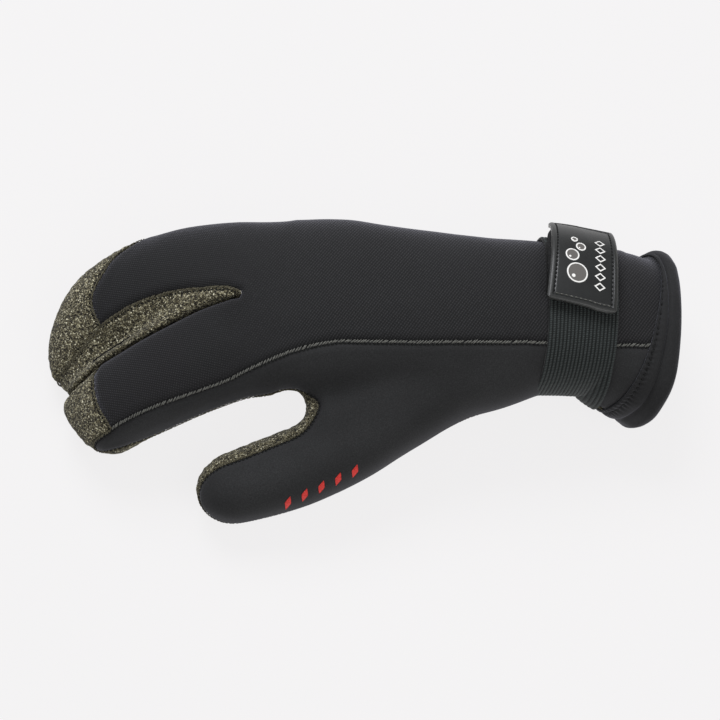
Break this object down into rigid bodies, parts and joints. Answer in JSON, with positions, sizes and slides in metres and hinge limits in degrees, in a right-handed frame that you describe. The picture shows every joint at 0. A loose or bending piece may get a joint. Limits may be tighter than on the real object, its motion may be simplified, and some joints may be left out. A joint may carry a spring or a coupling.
{
  "type": "diving glove",
  "caption": "Three-compartment padded diving mitt, palm down, with a thumb stall, an index and middle finger pocket, a ring and little finger pocket, grip cloth palm, wrist strap and label.",
  "frame": {"origin": "middle of the footprint, on the surface that the glove lies on", "axes": "+X towards the cuff, -Y towards the thumb, +Z out of the back of the hand"},
  "size_m": [0.3438, 0.1588, 0.0912],
  "materials": {
    "back_cloth": "black ribbed jersey laminated on foam rubber, soft sheen",
    "side_cloth": "smooth dark grey jersey laminated on foam rubber",
    "grip_cloth": "rough speckled beige and black abrasion-proof knit",
    "binding_cloth": "folded dark jersey binding with a rolled rim",
    "strap_elastic": "ribbed greenish black elastic webbing",
    "hook_tape": "black hook tape",
    "label_rubber": "moulded soft plastic with a raised border"
  },
  "bodies": {
    "root": {"back_panel": "back_cloth", "side_panel": "side_cloth", "finger_gusset": "grip_cloth", "palm_panel": "grip_cloth", "cuff_binding": "binding_cloth", "wrist_strap": "strap_elastic", "strap_tab": "hook_tape", "label_patch": "label_rubber"}
  },
  "joints": []
}
